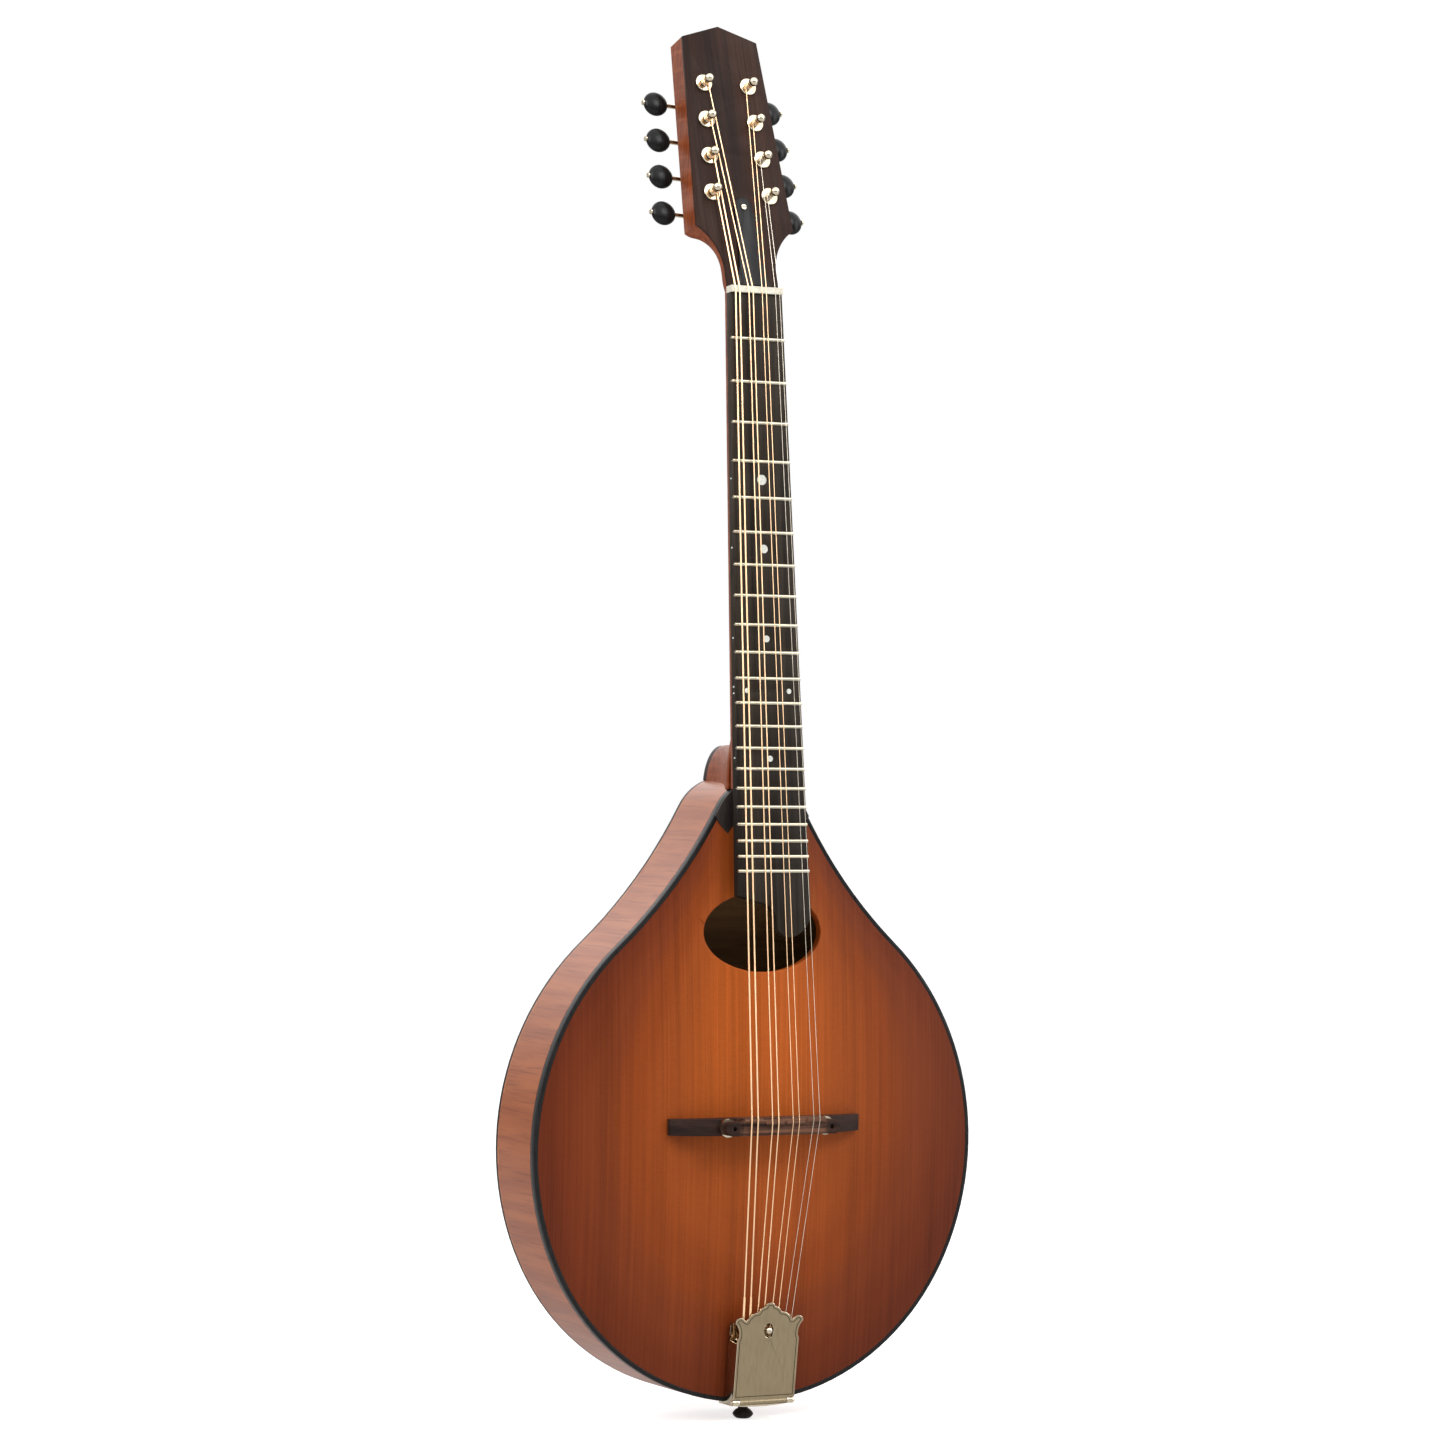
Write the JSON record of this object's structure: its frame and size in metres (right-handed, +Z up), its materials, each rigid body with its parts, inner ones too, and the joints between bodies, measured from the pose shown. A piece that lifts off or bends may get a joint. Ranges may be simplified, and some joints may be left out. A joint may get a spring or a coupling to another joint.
{
  "type": "octave mandolin",
  "caption": "Octave mandolin with a teardrop body, oval sound hole, floating bridge, hinged tailpiece cover and geared tuners in a paddle-shaped peghead.",
  "frame": {"origin": "tail end of the body, on the middle line and at the middle of the ribs' depth", "axes": "+Z up the neck, -Y out of the soundboard to the front, +X to the treble side"},
  "size_m": [0.3326, 0.1386, 0.9515],
  "materials": {
    "top_spruce": "gloss",
    "maple": "gloss",
    "neck_wood": "gloss",
    "inner_wood": "matte",
    "ebony": "satin",
    "rosewood": "satin",
    "black_plastic": "gloss",
    "bone": "satin",
    "pearl": "gloss",
    "fret_metal": "polished",
    "steel": "polished",
    "nickel": "polished",
    "brass": "satin",
    "cast_metal": "satin",
    "bronze": "polished",
    "key_mix": "gloss"
  },
  "bodies": {
    "instrument": {"soundboard": "top_spruce", "back_plate": "maple", "rib_bass": "maple", "rib_treble": "maple", "linings": "inner_wood", "neck_block": "inner_wood", "tail_block": "inner_wood", "tone_bars": "inner_wood", "back_braces": "inner_wood", "top_binding": "black_plastic", "back_binding": "black_plastic", "top_caps": "ebony", "neck": "neck_wood", "heel_cap": "black_plastic", "truss_rod": "steel", "truss_rod_cover": "black_plastic", "fingerboard": "ebony", "fingerboard_riser": "ebony", "frets": "fret_metal", "position_dots": "pearl", "side_dots": "pearl", "nut": "bone", "peghead_overlay": "rosewood", "tuner_plates": "nickel", "small_screws": "nickel", "post_bushings": "nickel", "bridge_base": "rosewood", "bridge_studs": "steel", "tailpiece_base": "cast_metal", "tailpiece_hinge_pin": "nickel", "tailpiece_screws": "nickel", "tailpiece_latch": "nickel", "end_pin": "black_plastic", "strings_g": "bronze", "strings_d": "bronze", "strings_a": "bronze", "strings_e": "steel"},
    "rod_nut": {"truss_rod_nut": "brass"},
    "saddle": {"bridge_saddle": "rosewood"},
    "wheel_bass": {"thumbwheel_bass": "nickel"},
    "wheel_treble": {"thumbwheel_treble": "nickel"},
    "tail_cover": {"tailpiece_cover": "cast_metal"},
    "key_1": {"tuner_key_1": "key_mix"},
    "post_1": {"string_post_1": "nickel"},
    "key_2": {"tuner_key_2": "key_mix"},
    "post_2": {"string_post_2": "nickel"},
    "key_3": {"tuner_key_3": "key_mix"},
    "post_3": {"string_post_3": "nickel"},
    "key_4": {"tuner_key_4": "key_mix"},
    "post_4": {"string_post_4": "nickel"},
    "key_5": {"tuner_key_5": "key_mix"},
    "post_5": {"string_post_5": "nickel"},
    "key_6": {"tuner_key_6": "key_mix"},
    "post_6": {"string_post_6": "nickel"},
    "key_7": {"tuner_key_7": "key_mix"},
    "post_7": {"string_post_7": "nickel"},
    "key_8": {"tuner_key_8": "key_mix"},
    "post_8": {"string_post_8": "nickel"}
  },
  "joints": [
    {"name": "key_1_turn", "type": "hinge", "parent": "instrument", "child": "key_1", "pos_m": [-0.02267, 0.03156, 0.80311], "axis": [-0.9981, 0.0181, 0.0581], "continuous": true},
    {"name": "post_1_turn", "type": "hinge", "parent": "instrument", "child": "post_1", "pos_m": [-0.02209, 0.01451, 0.81834], "axis": [0, -0.955, 0.2965], "continuous": true},
    {"name": "key_2_turn", "type": "hinge", "parent": "instrument", "child": "key_2", "pos_m": [-0.02101, 0.03961, 0.82904], "axis": [-0.9981, 0.0181, 0.0581], "continuous": true},
    {"name": "post_2_turn", "type": "hinge", "parent": "instrument", "child": "post_2", "pos_m": [-0.02043, 0.02256, 0.84426], "axis": [0, -0.955, 0.2965], "continuous": true},
    {"name": "key_3_turn", "type": "hinge", "parent": "instrument", "child": "key_3", "pos_m": [-0.01935, 0.04766, 0.85497], "axis": [-0.9981, 0.0181, 0.0581], "continuous": true},
    {"name": "post_3_turn", "type": "hinge", "parent": "instrument", "child": "post_3", "pos_m": [-0.01878, 0.03061, 0.87019], "axis": [0, -0.955, 0.2965], "continuous": true},
    {"name": "key_4_turn", "type": "hinge", "parent": "instrument", "child": "key_4", "pos_m": [-0.0177, 0.05571, 0.8809], "axis": [-0.9981, 0.0181, 0.0581], "continuous": true},
    {"name": "post_4_turn", "type": "hinge", "parent": "instrument", "child": "post_4", "pos_m": [-0.01712, 0.03866, 0.89612], "axis": [0, -0.955, 0.2965], "continuous": true},
    {"name": "key_5_turn", "type": "hinge", "parent": "instrument", "child": "key_5", "pos_m": [0.02267, 0.03156, 0.80311], "axis": [0.9981, 0.0181, 0.0581], "continuous": true},
    {"name": "post_5_turn", "type": "hinge", "parent": "instrument", "child": "post_5", "pos_m": [0.02209, 0.01451, 0.81834], "axis": [0, -0.955, 0.2965], "continuous": true},
    {"name": "key_6_turn", "type": "hinge", "parent": "instrument", "child": "key_6", "pos_m": [0.02101, 0.03961, 0.82904], "axis": [0.9981, 0.0181, 0.0581], "continuous": true},
    {"name": "post_6_turn", "type": "hinge", "parent": "instrument", "child": "post_6", "pos_m": [0.02043, 0.02256, 0.84426], "axis": [0, -0.955, 0.2965], "continuous": true},
    {"name": "key_7_turn", "type": "hinge", "parent": "instrument", "child": "key_7", "pos_m": [0.01935, 0.04766, 0.85497], "axis": [0.9981, 0.0181, 0.0581], "continuous": true},
    {"name": "post_7_turn", "type": "hinge", "parent": "instrument", "child": "post_7", "pos_m": [0.01878, 0.03061, 0.87019], "axis": [0, -0.955, 0.2965], "continuous": true},
    {"name": "key_8_turn", "type": "hinge", "parent": "instrument", "child": "key_8", "pos_m": [0.0177, 0.05571, 0.8809], "axis": [0.9981, 0.0181, 0.0581], "continuous": true},
    {"name": "post_8_turn", "type": "hinge", "parent": "instrument", "child": "post_8", "pos_m": [0.01712, 0.03866, 0.89612], "axis": [0, -0.955, 0.2965], "continuous": true},
    {"name": "saddle_height", "type": "slide", "parent": "instrument", "child": "saddle", "axis": [0, 1, 0], "range_m": [0, 0.0015]},
    {"name": "thumbwheel_bass_turn", "type": "hinge", "parent": "saddle", "child": "wheel_bass", "pos_m": [-0.03685, -0.0557, 0.18764], "axis": [0, 1, 0], "range_deg": [0, 772.4]},
    {"name": "thumbwheel_treble_turn", "type": "hinge", "parent": "saddle", "child": "wheel_treble", "pos_m": [0.03685, -0.0557, 0.18764], "axis": [0, 1, 0], "range_deg": [0, 772.4]},
    {"name": "tailpiece_cover_hinge", "type": "hinge", "parent": "instrument", "child": "tail_cover", "pos_m": [0, -0.04243, 0.00215], "axis": [1, 0, 0], "range_deg": [0, 100]},
    {"name": "truss_rod_nut_turn", "type": "hinge", "parent": "instrument", "child": "rod_nut", "pos_m": [0, -0.00057, 0.75263], "axis": [0, 0.0915, 0.9958], "range_deg": [-180, 180]}
  ],
  "couplings": [
    {"joint": "post_1_turn", "follows": "key_1_turn", "ratio": 0.066667},
    {"joint": "post_2_turn", "follows": "key_2_turn", "ratio": 0.066667},
    {"joint": "post_3_turn", "follows": "key_3_turn", "ratio": 0.066667},
    {"joint": "post_4_turn", "follows": "key_4_turn", "ratio": 0.066667},
    {"joint": "post_5_turn", "follows": "key_5_turn", "ratio": -0.066667},
    {"joint": "post_6_turn", "follows": "key_6_turn", "ratio": -0.066667},
    {"joint": "post_7_turn", "follows": "key_7_turn", "ratio": -0.066667},
    {"joint": "post_8_turn", "follows": "key_8_turn", "ratio": -0.066667},
    {"joint": "thumbwheel_bass_turn", "follows": "saddle_height", "rad_per_m": 8976},
    {"joint": "thumbwheel_treble_turn", "follows": "saddle_height", "rad_per_m": 8976}
  ]
}
